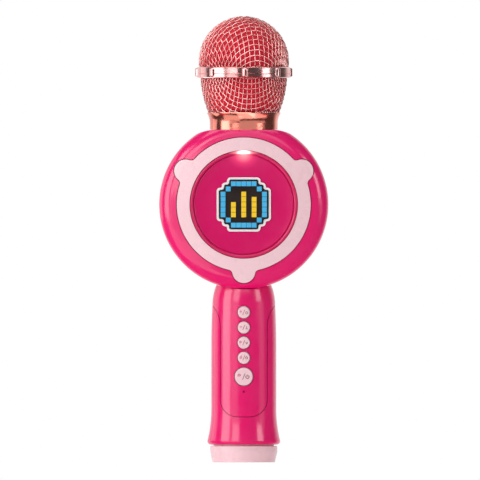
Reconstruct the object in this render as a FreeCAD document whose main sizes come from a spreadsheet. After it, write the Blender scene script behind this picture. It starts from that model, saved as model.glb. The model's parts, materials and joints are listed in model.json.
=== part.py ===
import FreeCAD, Part
import math
import os
import types
import Sketcher
from FreeCAD import Placement, Rotation, Vector

# A toy karaoke microphone in millimetres. +Z is up, the origin is the middle of the flat foot, and the
# display faces -Y. Pieces of the round body are drawn about the body's own axis: their local Z is the
# distance from its middle plane, towards the front or towards the rear.

DIMENSIONS = {
    # End cap and the charging well in it
    "cap_foot_radius": 17.5, "cap_foot_edge": 0.4, "cap_radius": 18.8, "cap_taper_top": 6.0,
    "cap_top": 9.2, "cap_round": 0.6, "cap_spigot_radius": 16.9, "cap_spigot_top": 12.2,
    "cap_cup_radius": 15.1, "cap_floor": 6.0, "well_length": 13.0, "well_width": 7.5, "well_depth": 5.0,
    "well_corner": 1.0, "port_hole_length": 9.2, "port_hole_width": 3.5,
    # Handle tube
    "grip_low": 9.9, "grip_foot_radius": 18.6, "grip_foot_round": 2.0, "grip_flare_radius": 20.4,
    "grip_flare_z": 12.0, "waist_radius": 18.2, "waist_low": 30.0, "waist_high": 66.0,
    "neck_seam_radius": 17.6, "neck_seam_z": 88.0, "neck_top_radius": 15.4, "neck_top_z": 99.4,
    "neck_bore": 13.2, "neck_bore_z": 97.0, "handle_bore": 16.2, "handle_bore_top": 86.0,
    "handle_bore_low": 13.4, "foot_bore": 17.1, "foot_bore_top": 12.6, "seam_gap": 0.3,
    "lip_radius": 15.45, "lip_bore": 14.2, "lip_low": 85.6, "lip_top": 90.5,
    # Tongue of the neck panel
    "tongue_half_width": 13.0, "tongue_low": 25.6, "tongue_corner": 9.5, "tongue_flare_low": 76.4,
    "tongue_flare_width": 4.7,
    # Buttons, their switches and the indicator
    "button_top_z": 84.0, "button_pitch": 8.5, "power_z": 48.0, "button_radius": 3.4,
    "power_radius": 5.05, "button_gap": 0.4, "button_edge": 0.5, "button_crown": 0.25,
    "button_face": 18.9, "button_flange": 4.05, "power_flange": 5.9, "flange_low": 14.4,
    "power_flange_low": 14.0, "flange_thick": 0.8, "stem_radius": 1.6, "stem_low": 13.5,
    "plunger_radius": 1.65, "plunger_low": 11.9, "switch_width": 6.0, "switch_top": 12.5,
    "switch_hole_radius": 1.75, "switch_hole_floor": 11.1, "indicator_z": 39.5, "indicator_radius": 0.5,
    "indicator_hole": 0.56, "indicator_foot": 1.2, "indicator_step": 15.0, "indicator_face": 18.0,
    # Control board, battery and tray
    "board_half_width": 12.0, "board_rear": 7.4, "board_front": 9.0, "board_low": 30.0,
    "board_high": 89.0, "battery_radius": 9.2, "battery_y": 5.2, "battery_length": 65.0,
    "battery_round": 0.6, "nub_radius": 2.8, "nub_height": 1.0, "tray_radius": 16.0, "tray_bore": 14.8,
    "tray_low": 13.0, "tray_floor": 14.5, "tray_top": 85.0, "ledge_x": 11.2, "ledge_thick": 1.6,
    "lead_hole": 1.2, "lead_hole_x": 6.2, "lead_hole_y": -8.2,
    # Charging socket and its board
    "port_length": 8.94, "port_width": 3.2, "port_wall": 0.3, "port_low": 5.0, "port_floor": 11.3,
    "port_top": 12.3, "tongue_half_length": 3.35, "contact_half_thick": 0.35, "contact_low": 5.6,
    "charge_half_width": 7.8, "charge_front": 1.65, "charge_rear": 2.85, "charge_low": 6.2,
    "charge_top": 12.6,
    # Screws
    "screw_radius": 1.2, "screw_head": 2.4, "screw_crown": 1.7, "screw_head_height": 1.4,
    "screw_head_side": 0.7, "screw_tip": 1.0, "screw_tip_radius": 0.6, "pilot_spare": 0.2,
    "recess_half_length": 1.3, "recess_half_width": 0.25, "recess_depth": 0.8, "base_screw_x": 11.5,
    "base_screw_seat": 2.5, "base_screw_length": 9.5, "base_bore": 2.6, "base_boss": 3.0,
    "body_screw_ring": 41.0, "body_screw_seat": 4.0, "body_screw_length": 12.0, "body_bore": 3.0,
    "rear_post": 4.4, "front_boss": 3.2, "body_pilot_depth": 9.0, "led_screw_ring": 35.0,
    "led_screw_length": 4.2, "led_boss": 2.4, "speaker_screw_ring": 28.6, "speaker_screw_length": 3.6,
    "head_screw_ring": 12.5, "head_screw_length": 4.4,
    # Round body
    "body_z": 144.4, "body_radius": 47.4, "edge_radius": 9.0, "crown_radius": 200.0,
    "parting_edge": 0.25, "side_depth": 13.42, "flat_height": 41.9, "flat_half": 15.5,
    "shoulder_radius": 25.0, "shoulder_angle": 42.5, "shoulder_drop": 8.0, "flat_round": 1.5,
    "cutter_reach": 60.0, "cutter_depth": 30.0, "cutter_low": 3.4, "overcut": 1.0, "top_cut": 5.0,
    "body_wall": 2.2, "top_wall": 2.0, "cavity_low_depth": 18.4, "cavity_depth": 20.0,
    "cavity_corner": 6.8, "boss_bite": 0.3, "ledge_radius": 34.8, "post_top": 18.6, "top_hole": 9.0,
    "neck_hole": 13.2, "neck_trim": 0.1,
    # Trim ring, light ring and display
    "trim_radius": 37.5, "trim_bore": 30.4, "trim_thick": 1.8, "trim_pocket": 2.0, "trim_gap": 0.45,
    "lobe_ring": 37.6, "lobe_radius": 6.4, "lobe_fillet": 2.6, "light_radius": 30.2, "light_bore": 28.3,
    "bead_low": 23.0, "bead_radius": 1.0, "light_flange": 32.0, "light_ledge": 20.5,
    "light_ledge_bore": 26.5, "led_groove_bore": 27.6, "led_groove_radius": 30.8,
    "led_groove_top": 17.4, "disc_radius": 28.15, "disc_flat": 19.5, "disc_depth": 22.0,
    "disc_rim": 22.65, "disc_rim_radius": 27.4, "disc_edge": 22.3, "led_board_radius": 37.5,
    "led_board_rear": 14.4, "led_board_front": 16.0, "led_board_hole": 5.0, "led_ring": 29.2,
    "led_radius": 1.1, "led_height": 0.8,
    # Badge
    "tile_pitch": 2.9, "tile_size": 2.7, "tile_height": 0.5, "backing_thick": 0.6, "field_thick": 0.3,
    "backing_border": 2.1, "backing_convex": 1.9, "backing_concave": 0.9, "field_border": 0.9,
    "field_convex": 1.0, "field_concave": 1.4,
    # Loudspeaker, measured from the body's middle plane towards the rear
    "speaker_flange": 30.5, "speaker_rear": 19.2, "speaker_front": 17.8, "rim_bore": 25.0,
    "rim_step": 18.4, "rim_step_bore": 23.4, "basket_radius": 26.0, "basket_foot": 14.5,
    "basket_bore": 8.0, "basket_low": 4.8, "basket_floor": 6.0, "basket_inner_foot": 13.8,
    "magnet_radius": 14.0, "magnet_bore": 7.7, "magnet_low": 1.2, "yoke_radius": 13.0, "yoke_low": -0.4,
    "pole_radius": 6.3, "pole_top": 5.6, "coil_bore": 6.7, "coil_radius": 7.3, "coil_low": 2.4,
    "cone_foot": 8.0, "cone_foot_radius": 7.4, "cone_radius": 20.4, "cone_rim": 16.2, "cone_thick": 0.7,
    "dust_cap_top": 11.0, "surround_bore": 20.8, "surround_low": 16.9, "surround_step": 22.8,
    "surround_thick": 0.6, "gasket_bore": 24.9, "gasket_radius": 27.2, "speaker_window": 24.2,
    "grille_seat": 22.0, "grille_bore": 28.2, "grille_radius": 28.0, "grille_top": 24.0,
    "hole_radius": 1.15, "hole_ring": 4.4,
    # Neck spigot
    "spigot_radius": 13.0, "spigot_edge": 0.5, "spigot_bore": 11.0, "spigot_low": 91.0,
    "spigot_top": 106.0, "spigot_flange": 17.5, "spigot_flange_low": 103.4, "spigot_flange_top": 105.0,
    # Head: collar, band, mesh shells and foam
    "collar_low": 186.3, "collar_radius": 19.0, "collar_flare_z": 190.0, "collar_lip_radius": 20.6,
    "collar_lip_z": 195.5, "collar_lip_edge": 0.15, "collar_top": 195.9, "collar_floor_bore": 15.5,
    "collar_floor": 187.3, "collar_bore": 17.3, "collar_bore_top": 190.5, "mesh_seat": 195.0,
    "mesh_seat_bore": 18.9, "mesh_seat_radius": 20.15, "mesh_wall": 0.9, "bowl_low_radius": 19.7,
    "bowl_radius": 24.45, "bowl_curve": 62.0, "band_low": 215.3, "web_low": 218.0, "web_high": 218.8,
    "web_bore": 22.8, "band_high": 221.4, "band_lip_radius": 25.7, "band_radius": 26.2,
    "band_lip_height": 0.4, "band_crease": 25.85, "band_crease_z": 217.6, "band_crease_half": 0.3,
    "low_rabbet": 24.55, "high_rabbet": 25.5, "rib_count": 8, "rib_reach": 27.3, "rib_radius": 2.06,
    "rib_round": 0.75, "rib_low": 215.9, "rib_high": 220.8, "rib_turn": 2.0, "dome_radius": 25.4,
    "dome_z": 224.6, "foam_low": 196.2, "foam_low_radius": 18.6, "foam_bowl_radius": 23.0,
    "foam_bowl_z": 214.6, "foam_bowl_curve": 61.0, "foam_waist_radius": 22.3, "foam_waist_low": 217.4,
    "foam_waist_high": 219.2, "foam_dome_low": 220.0, "foam_dome_radius": 24.1, "foam_bore": 9.5,
    "foam_bore_top": 223.0,
    # Microphone capsule and its mount
    "mount_low": 181.0, "mount_plug": 8.9, "mount_boss": 15.3, "mount_plate": 17.1,
    "mount_plate_top": 189.3, "mount_pilot_top": 189.0, "mount_stem": 6.5, "mount_stem_top": 208.0,
    "mount_cup_seat": 7.8, "mount_top": 210.0, "mount_bore": 2.0, "cup_radius": 8.2, "cup_top": 221.0,
    "cup_bore": 5.0, "cup_floor": 213.4, "cup_lead_hole": 1.0, "capsule_radius": 4.95,
    "capsule_top": 220.2, "capsule_edge": 0.4,
    # Leads
    "lead_radius": 0.6, "lead_bend": 2.5,
}
SMALL_BUTTONS = 4
LOBES = (30, 150, 270)
LED_COUNT = 12
GRILLE_RINGS = 5
HOLES_IN_FIRST_RING = 6
# the half width of the badge's narrow, middle and wide rows, in tiles, and its outermost row
BADGE_ROWS = (2.5, 3.5, 4.5)
BADGE_RIM = 4
# column and height, in tiles, of each bar on the badge, and the row that they all stand on
BARS = ((-2, 3), (0, 5), (2, 4))
BAR_FOOT = -2
CHIPS = (
    # half width, half height, thickness, x, z of each part on the back of the control board
    (5.0, 5.0, 1.2, 3.0, 62.0),
    (2.4, 3.0, 1.6, -7.0, 74.0),
    (3.0, 1.6, 2.4, 0.0, 83.0),
    (1.6, 1.6, 2.2, -6.5, 40.0),
    (2.0, 2.5, 1.0, 7.0, 45.0),
)
LEADS = {
    # corners of each lead's route, from the piece that it leaves to the board that it ends on
    "mic_lead": ((0, 0, 213.4), (0, 0, 170), (0, -8.2, 158), (0, -8.2, 89)),
    "light_lead": ((4, -14.4, 130), (4, -8.2, 130), (4, -8.2, 89)),
    "speaker_lead": ((-8, 17.8, 117.6), (-8, 6, 117.6), (-4, -8.2, 112), (-4, -8.2, 89)),
    "battery_lead": ((0, 5.2, 80.5), (0, 5.2, 86.5), (8, -2, 86.5), (8, -7.4, 86.5)),
    "charge_lead": ((6.2, 1.65, 9.5), (6.2, -8.2, 9.5), (6.2, -8.2, 30)),
}

doc = FreeCAD.newDocument("toy_microphone")
sheet = doc.addObject("Spreadsheet::Sheet", "dims")
NODES = []

UP = Rotation()
FRONT = Rotation(Vector(1, 0, 0), 90)
REAR = Rotation(Vector(0, 0, 1), 180).multiply(Rotation(Vector(1, 0, 0), 90))
UPRIGHT = Rotation(Vector(1, 0, 0), -90)


class Size:
    """A length that keeps the sheet expression it was worked out from beside its value."""

    def __init__(self, value, text):
        self.value = value
        self.text = text

    def __add__(self, other):
        other = size(other)
        return Size(self.value + other.value, f"({self.text} + {other.text})")

    def __radd__(self, other):
        return size(other) + self

    def __sub__(self, other):
        other = size(other)
        return Size(self.value - other.value, f"({self.text} - {other.text})")

    def __rsub__(self, other):
        return size(other) - self

    def __mul__(self, other):
        other = size(other)
        return Size(self.value * other.value, f"({self.text} * {other.text})")

    def __rmul__(self, other):
        return size(other) * self

    def __truediv__(self, other):
        other = size(other)
        return Size(self.value / other.value, f"({self.text} / {other.text})")

    def __neg__(self):
        return 0 - self


def size(number):
    return number if isinstance(number, Size) else Size(float(number), str(float(number)))


def root(number):
    return Size(math.sqrt(number.value), f"sqrt({number.text})")


def sine(degrees):
    degrees = size(degrees)
    return Size(math.sin(math.radians(degrees.value)), f"sin({degrees.text})")


def cosine(degrees):
    degrees = size(degrees)
    return Size(math.cos(math.radians(degrees.value)), f"cos({degrees.text})")


def tangent_arc(run, offset):
    """Radius of the arc that leaves a line at a tangent and is offset from it after a run."""
    return (run * run + offset * offset) / (2 * offset)


def polar(radius, degrees):
    return radius * cosine(degrees), radius * sine(degrees)


def fill_sheet():
    for row, (name, value) in enumerate(DIMENSIONS.items(), start=1):
        sheet.set(f"A{row}", name)
        sheet.set(f"B{row}", str(value))
        sheet.setAlias(f"B{row}", name)
    doc.recompute()
    return types.SimpleNamespace(**{
        name: Size(float(value), f"dims.{name}") for name, value in DIMENSIONS.items()
    })


d = fill_sheet()


# Drawing helpers

def bind(item, field, length):
    if abs(length.value) > 0 or "dims" in length.text:
        item.setExpression(field, length.text)


def place(item, turn=UP, x=0, y=0, z=0):
    """Turns an object and moves it to a point of the frame that it is drawn in."""
    spot = [size(x), size(y), size(z)]
    item.Placement = Placement(Vector(*(length.value for length in spot)), turn)
    for axis, length in zip("xyz", spot):
        bind(item, f"Placement.Base.{axis}", length)
    return item


def arc_between(start, end, radius):
    """The shorter arc from start to end, turning left where the radius is positive."""
    chord = end - start
    height = math.sqrt(max(radius * radius - chord.Length * chord.Length / 4, 0))
    left = Vector(-chord.y, chord.x, 0).normalize()
    middle = (start + end) * 0.5 + left * math.copysign(height, radius)
    first, last = (start, end) if radius > 0 else (end, start)
    angles = [math.atan2(point.y - middle.y, point.x - middle.x) for point in (first, last)]
    return Part.ArcOfCircle(Part.Circle(middle, Vector(0, 0, 1), abs(radius)), *angles)


def fix_point(drawing, edge, end, x, y):
    """Ties one end of an edge to the origin by two bound distances."""
    if x.value == 0 and y.value == 0:
        drawing.addConstraint(Sketcher.Constraint("Coincident", edge, end, -1, 1))
        return
    for kind, axis, length in (("DistanceX", -2, x), ("DistanceY", -1, y)):
        if length.value == 0:
            drawing.addConstraint(Sketcher.Constraint("PointOnObject", edge, end, axis))
            continue
        number = drawing.addConstraint(Sketcher.Constraint(kind, -1, 1, edge, end, length.value))
        drawing.renameConstraint(number, f"{kind[-1].lower()}{edge}")
        bind(drawing, f"Constraints.{kind[-1].lower()}{edge}", length)


def outline(drawing, corners):
    """Draws a closed outline. A corner's third value is the signed radius of the arc that leaves it."""
    corners = [tuple(size(number) for number in corner) for corner in corners]
    points = [Vector(corner[0].value, corner[1].value, 0) for corner in corners]
    starts = []
    for index, corner in enumerate(corners):
        start, end = points[index], points[(index + 1) % len(points)]
        if len(corner) == 2:
            edge = drawing.addGeometry(Part.LineSegment(start, end), False)
            starts.append((edge, 1, 2))
            continue
        edge = drawing.addGeometry(arc_between(start, end, corner[2].value), False)
        starts.append((edge, 1, 2) if corner[2].value > 0 else (edge, 2, 1))
    for index, corner in enumerate(corners):
        edge, first, last = starts[index]
        follower, follower_first, _ = starts[(index + 1) % len(starts)]
        drawing.addConstraint(Sketcher.Constraint("Coincident", edge, last, follower, follower_first))
        fix_point(drawing, edge, first, corner[0], corner[1])
        if len(corner) == 3:
            radius = corner[2] if corner[2].value > 0 else -corner[2]
            number = drawing.addConstraint(Sketcher.Constraint("Radius", edge, radius.value))
            drawing.renameConstraint(number, f"radius{edge}")
            bind(drawing, f"Constraints.radius{edge}", radius)


def sketch_on(body, role, name):
    drawing = body.newObject("Sketcher::SketchObject", name)
    plane = next(item for item in body.Origin.OriginFeatures if item.Role == role)
    drawing.AttachmentSupport = (plane, [""])
    drawing.MapMode = "FlatFace"
    return drawing


def turned(name, corners):
    """A body turned about local Z from an outline of (radius, height) corners."""
    body = doc.addObject("PartDesign::Body", name)
    drawing = sketch_on(body, "XZ_Plane", f"{name}_profile")
    outline(drawing, corners)
    turn = body.newObject("PartDesign::Revolution", f"{name}_turn")
    turn.Profile = drawing
    turn.ReferenceAxis = (drawing, ["V_Axis"])
    turn.Angle = 360
    return body


def slab(name, corners, low, high):
    """A flat plate with the given outline, between two heights."""
    body = doc.addObject("PartDesign::Body", name)
    drawing = sketch_on(body, "XY_Plane", f"{name}_outline")
    outline(drawing, corners)
    pad = body.newObject("PartDesign::Pad", f"{name}_pad")
    pad.Profile = drawing
    bind(pad, "Length", size(high) - size(low))
    return place(body, z=low)


def rod(name, radius, low, high, x=0, y=0, turn=UP):
    """A round bar along local Z, or along local Y where it is turned upright."""
    item = doc.addObject("Part::Cylinder", name)
    bind(item, "Radius", size(radius))
    bind(item, "Height", size(high) - size(low))
    if turn is UPRIGHT:
        return place(item, turn, x, low, y)
    return place(item, turn, x, y, low)


def tube(name, radius, bore, low, high):
    return turned(name, [(bore, low), (radius, low), (radius, high), (bore, high)])


def block(name, x, y, z):
    """A box between pairs of limits along each local axis."""
    item = doc.addObject("Part::Box", name)
    spans = [(size(low), size(high)) for low, high in (x, y, z)]
    for field, (low, high) in zip(("Length", "Width", "Height"), spans):
        bind(item, field, high - low)
    return place(item, UP, *(low for low, _ in spans))


def rounded_slab(name, length, width, corner, low, high):
    """A plate whose corners are quarter circles, centred on the local axis."""
    x, y = length / 2, width / 2
    corners = [
        (corner - x, -y), (x - corner, -y, corner), (x, corner - y), (x, y - corner, corner),
        (x - corner, y), (corner - x, y, corner), (-x, y - corner), (-x, corner - y, corner),
    ]
    return slab(name, corners, low, high)


def obround(name, length, width, low, high):
    """A plate with two round ends, centred on the local axis."""
    end, flat = width / 2, (length - width) / 2
    corners = [
        (-flat, -end), (flat, -end, end), (flat + end, 0, end),
        (flat, end), (-flat, end, end), (-flat - end, 0, end),
    ]
    return slab(name, corners, low, high)


def fused(name, *items):
    if len(items) == 1:
        return items[0]
    item = doc.addObject("Part::MultiFuse", name)
    item.Shapes = list(items)
    return item


def cut(name, base, *tools):
    item = doc.addObject("Part::Cut", name)
    item.Base = base
    item.Tool = fused(f"{name}_tools", *tools)
    return item


def common(name, first, second):
    item = doc.addObject("Part::MultiCommon", name)
    item.Shapes = [first, second]
    return item


def group(name, items):
    """Separate solids that share one node."""
    item = doc.addObject("Part::Compound", name)
    item.Links = items
    return item


def rounded(name, base, radius, wanted):
    """Rounds the edges of a finished shape that the wanted test picks out."""
    doc.recompute()
    edges = [number for number, edge in enumerate(base.Shape.Edges, start=1) if wanted(edge)]
    item = doc.addObject("Part::Fillet", name)
    item.Base = base
    item.Edges = [(number, radius.value, radius.value) for number in edges]
    return item


def node(label, item, turn=UP, x=0, y=0, z=0):
    """Names a finished sub-part and puts it where it belongs in the microphone."""
    if turn is not UP or any(size(length).value for length in (x, y, z)):
        place(item, turn, x, y, z)
    item.Label = label
    NODES.append(item)
    return item


def screw(name, length, x, y, seat):
    """A cross-head screw along +Z, with the underside of its head at the seat height."""
    head, height, shank = d.screw_head, d.screw_head_height, d.screw_radius
    crown = tangent_arc(height - d.screw_head_side, head - d.screw_crown)
    blank = turned(f"{name}_blank", [
        (0, -height), (d.screw_crown, -height, crown), (head, -d.screw_head_side), (head, 0),
        (shank, 0), (shank, length - d.screw_tip), (d.screw_tip_radius, length), (0, length),
    ])
    long, wide = d.recess_half_length, d.recess_half_width
    depth = (-height - d.overcut, d.recess_depth - height)
    cross = (
        block(f"{name}_slot_across", (-long, long), (-wide, wide), depth),
        block(f"{name}_slot_along", (-wide, wide), (-long, long), depth),
    )
    return place(cut(name, blank, *cross), UP, x, y, seat)


def screws(label, length, seat, spots, turn=UP, z=0):
    items = [screw(f"{label}_{index}", length, x, y, seat) for index, (x, y) in enumerate(spots)]
    return node(label, group(label, items), turn, z=z)


# Shapes that several pieces share

CROWN_CENTRE = d.side_depth - root(
    (d.crown_radius - d.edge_radius) * (d.crown_radius - d.edge_radius)
    - (d.body_radius - d.edge_radius) * (d.body_radius - d.edge_radius))


def drum_half(name, inset):
    """Half of the round body, shrunk by an inset: side wall, rounded edge and slightly domed face.

    A small chamfer where it meets the other half makes the parting groove.
    """
    side, edge, crown = (length - inset for length in (d.body_radius, d.edge_radius, d.crown_radius))
    edge_centre, span = d.body_radius - d.edge_radius, d.crown_radius - d.edge_radius
    touch_radius = edge_centre + edge * edge_centre / span
    touch_depth = d.side_depth + edge * (d.side_depth - CROWN_CENTRE) / span
    lathe = turned(f"{name}_lathe", [
        (0, 0), (side - d.parting_edge, 0), (side, d.parting_edge), (side, d.side_depth, edge),
        (touch_radius, touch_depth, crown), (0, CROWN_CENTRE + crown),
    ])
    return common(name, lathe, flat_topped(f"{name}_plan", inset, d.cutter_depth))


def flat_topped(name, inset, depth):
    """The body's plan, wide open except for the flat top that the head stands on and its shoulders."""
    top, curve, reach = d.flat_height - inset, d.shoulder_radius - inset, d.cutter_reach
    side = d.flat_half + curve * sine(d.shoulder_angle)
    shoulder = top - curve + curve * cosine(d.shoulder_angle)
    return slab(name, [
        (-reach, -reach), (reach, -reach), (reach, shoulder), (side, shoulder, curve),
        (d.flat_half, top), (-d.flat_half, top, curve), (-side, shoulder), (-reach, shoulder),
    ], 0, depth)


def cavity(name):
    """The hollow of one body half, with a shallower step around its edge."""
    wall, step = d.body_radius - d.body_wall, d.cavity_low_depth
    lathe = turned(f"{name}_lathe", [
        (0, 0), (wall, 0), (wall, step - d.cavity_corner, d.cavity_corner),
        (wall - d.cavity_corner, step), (d.ledge_radius, step), (d.ledge_radius, d.cavity_depth),
        (0, d.cavity_depth),
    ])
    return common(name, lathe, flat_topped(f"{name}_plan", d.top_wall, d.cutter_depth))


def trim_outline(gap):
    """A circle with three round lobes and soft inner corners, grown by a gap."""
    ring, lobe, fillet, out = d.trim_radius + gap, d.lobe_radius + gap, d.lobe_fillet - gap, d.lobe_ring
    to_ring, to_lobe = ring + fillet, lobe + fillet
    ahead = (out * out + to_ring * to_ring - to_lobe * to_lobe) / (2 * out)
    aside = root(to_ring * to_ring - ahead * ahead)
    on_ring = (ahead * ring / to_ring, aside * ring / to_ring)
    on_lobe = (out + (ahead - out) * lobe / to_lobe, aside * lobe / to_lobe)
    corners = []
    for turn in LOBES:
        for (along, across), radius in (
            ((on_ring[0], -on_ring[1]), -fillet), ((on_lobe[0], -on_lobe[1]), lobe),
            (on_lobe, -fillet), (on_ring, ring),
        ):
            x = along * cosine(turn) - across * sine(turn)
            y = along * sine(turn) + across * cosine(turn)
            corners.append((x, y, radius))
    return corners


def crown_edge(edge):
    """True for the edges of the flat top and its shoulders on the body's face."""
    lowest = min(vertex.Point.z for vertex in edge.Vertexes)
    return edge.BoundBox.YMin > (d.flat_height - d.shoulder_drop).value and lowest > d.overcut.value


def body_shell(name):
    """One half of the body before its holes: the rounded outside less the hollow."""
    outside = rounded(f"{name}_outside", drum_half(f"{name}_solid", 0), d.flat_round, crown_edge)
    return cut(f"{name}_hollow", outside, cavity(f"{name}_cavity"))


def ring_spots(radius, *angles):
    return [polar(radius, angle) for angle in angles]


BODY_SCREWS = ring_spots(d.body_screw_ring, 45, 135, 225, 315)
LED_SCREWS = ring_spots(d.led_screw_ring, 60, 180, 300)
SPEAKER_SCREWS = ring_spots(d.speaker_screw_ring, 0, 90, 180, 270)
HEAD_SCREWS = ring_spots(d.head_screw_ring, 45, 135, 225, 315)


def head_screw_holes(name, side):
    """Holes through one half of the flat top. The side is 1 at the front and -1 at the rear."""
    return [
        rod(f"{name}_{index}", d.screw_radius, d.flat_height - d.top_cut, d.flat_height + d.top_cut,
            x * side, -y * side, UPRIGHT)
        for index, (x, y) in enumerate(HEAD_SCREWS) if y.value * side < 0
    ]


def top_and_neck_holes(name):
    return [
        rod(f"{name}_top", d.top_hole, d.flat_height - d.top_cut, d.flat_height + d.top_cut, turn=UPRIGHT),
        rod(f"{name}_neck", d.neck_hole, -d.cutter_reach, d.top_cut - d.body_radius, turn=UPRIGHT),
    ]


# Handle

def button_heights():
    return [d.button_top_z - d.button_pitch * index for index in range(SMALL_BUTTONS)]


def handle_tube():
    """The whole handle skin, before it is parted into the grip and the neck panel."""
    flare = tangent_arc(d.waist_low - d.grip_flare_z, d.grip_flare_radius - d.waist_radius)
    taper = tangent_arc(d.neck_seam_z - d.waist_high, d.waist_radius - d.neck_seam_radius)
    shoulder = tangent_arc(d.neck_top_z - d.neck_seam_z, d.neck_seam_radius - d.neck_top_radius)
    return turned("handle_tube", [
        (d.foot_bore, d.grip_low), (d.grip_foot_radius, d.grip_low, d.grip_foot_round),
        (d.grip_flare_radius, d.grip_flare_z, -flare), (d.waist_radius, d.waist_low),
        (d.waist_radius, d.waist_high, taper), (d.neck_seam_radius, d.neck_seam_z, shoulder),
        (d.neck_top_radius, d.neck_top_z), (d.neck_bore, d.neck_top_z),
        (d.neck_bore, d.neck_bore_z), (d.handle_bore, d.handle_bore_top),
        (d.handle_bore, d.handle_bore_low), (d.foot_bore, d.foot_bore_top),
    ])


def panel_region(name, gap):
    """The space of the neck panel, grown by a gap: a tongue in front and the whole neck above."""
    side, low, high = d.tongue_half_width + gap, d.tongue_low - gap, d.neck_seam_z - gap
    corner, out = d.tongue_corner + gap, d.tongue_half_width + d.tongue_flare_width
    flare = tangent_arc(high - d.tongue_flare_low, out - side)
    tongue = slab(f"{name}_tongue", [
        (side - corner, low, corner), (side, low + corner),
        (side, d.tongue_flare_low, -flare), (out, high), (d.cutter_depth, high),
        (d.cutter_depth, d.neck_top_z), (-d.cutter_depth, d.neck_top_z), (-d.cutter_depth, high),
        (-out, high, -flare), (-side, d.tongue_flare_low), (-side, low + corner, corner),
        (corner - side, low),
    ], 0, d.cutter_depth)
    place(tongue, FRONT)
    reach = (-d.cutter_depth, d.cutter_depth)
    back = block(f"{name}_back", reach, (0, d.cutter_depth), (high, d.neck_top_z))
    return fused(name, tongue, back)


def make_handle():
    skin = handle_tube()
    body_space = rod("body_space", d.body_radius + d.neck_trim, -d.cutter_depth, d.cutter_depth)
    place(body_space, FRONT, 0, d.cutter_depth, d.body_z)
    holes = [
        rod(f"button_hole_{index}", d.button_radius + d.button_gap, d.board_front, d.cutter_depth)
        for index, _ in enumerate(button_heights())
    ]
    for hole, height in zip(holes, button_heights()):
        place(hole, FRONT, 0, -d.board_front, height)
    power_hole = rod("power_hole", d.power_radius + d.button_gap, d.board_front, d.cutter_depth)
    place(power_hole, FRONT, 0, -d.board_front, d.power_z)
    light_hole = rod("light_hole", d.indicator_hole, d.board_front, d.cutter_depth)
    place(light_hole, FRONT, 0, -d.board_front, d.indicator_z)
    panel = common("neck_panel_blank", skin, panel_region("panel_region", 0))
    lip = common("neck_lip", tube("neck_lip_ring", d.lip_radius, d.lip_bore, d.lip_low, d.lip_top),
                 block("neck_lip_half", (-d.lip_radius, d.lip_radius), (0, d.lip_radius),
                       (d.lip_low, d.lip_top)))
    node("neck_panel", cut("neck_panel", fused("neck_panel_solid", panel, lip), body_space,
                           power_hole, light_hole, *holes))
    node("grip", cut("grip", skin, panel_region("grip_region", d.seam_gap)))


def make_neck_spigot():
    node("neck_spigot", turned("neck_spigot", [
        (d.spigot_bore, d.spigot_low), (d.spigot_radius - d.spigot_edge, d.spigot_low),
        (d.spigot_radius, d.spigot_low + d.spigot_edge), (d.spigot_radius, d.spigot_flange_low),
        (d.spigot_flange, d.spigot_flange_low), (d.spigot_flange, d.spigot_flange_top),
        (d.spigot_radius, d.spigot_flange_top), (d.spigot_radius, d.spigot_top),
        (d.spigot_bore, d.spigot_top),
    ]))


def base_screw_spots():
    return [(d.base_screw_x, size(0)), (-d.base_screw_x, size(0))]


def make_end_cap():
    rim = d.cap_radius - d.cap_round
    blank = turned("end_cap_blank", [
        (0, 0), (d.cap_foot_radius - d.cap_foot_edge, 0, d.cap_foot_edge),
        (d.cap_foot_radius, d.cap_foot_edge), (d.cap_radius, d.cap_taper_top),
        (d.cap_radius, d.cap_top - d.cap_round, d.cap_round), (rim, d.cap_top),
        (d.cap_spigot_radius, d.cap_top), (d.cap_spigot_radius, d.cap_spigot_top),
        (d.cap_cup_radius, d.cap_spigot_top), (d.cap_cup_radius, d.cap_floor), (0, d.cap_floor),
    ])
    well = rounded_slab("well", d.well_length, d.well_width, d.well_corner, -d.overcut, d.well_depth)
    port_hole = obround("port_hole", d.port_hole_length, d.port_hole_width,
                        d.well_depth - d.overcut, d.cap_floor + d.overcut)
    bores = [
        rod(f"base_bore_{index}", d.base_bore, -d.overcut, d.base_screw_seat, x, y)
        for index, (x, y) in enumerate(base_screw_spots())
    ]
    holes = [
        rod(f"base_hole_{index}", d.screw_radius, 0, d.cap_floor + d.overcut, x, y)
        for index, (x, y) in enumerate(base_screw_spots())
    ]
    node("end_cap", cut("end_cap", blank, well, port_hole, *bores, *holes))
    screws("base_screws", d.base_screw_length, d.base_screw_seat, base_screw_spots())


def make_tray():
    """The open tray that the battery lies in, with ledges for the control board."""
    front, rear = -d.board_rear, d.ledge_thick - d.board_rear
    outer_x = root(d.tray_radius * d.tray_radius - front * front)
    inner_x = root(d.tray_bore * d.tray_bore - rear * rear)
    trough = slab("trough", [
        (d.ledge_x, front), (outer_x, front, d.tray_radius), (0, d.tray_radius, d.tray_radius),
        (-outer_x, front), (-d.ledge_x, front), (-d.ledge_x, rear), (-inner_x, rear, -d.tray_bore),
        (0, d.tray_bore, -d.tray_bore), (inner_x, rear), (d.ledge_x, rear),
    ], d.tray_low, d.tray_top)
    floor = rod("tray_floor", d.tray_radius, d.tray_low, d.tray_floor)
    bosses = [
        rod(f"base_boss_{index}", d.base_boss, d.cap_floor, d.tray_floor, x, y)
        for index, (x, y) in enumerate(base_screw_spots())
    ]
    pilots = [
        rod(f"base_pilot_{index}", d.screw_radius, d.cap_floor - d.overcut, d.tray_low, x, y)
        for index, (x, y) in enumerate(base_screw_spots())
    ]
    lead_hole = rod("tray_lead_hole", d.lead_hole, d.tray_low - d.overcut,
                    d.tray_floor + d.overcut, d.lead_hole_x, d.lead_hole_y)
    solid = fused("tray_solid", trough, floor, *bosses)
    node("handle_chassis", cut("handle_chassis", solid, lead_hole, *pilots))


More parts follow.
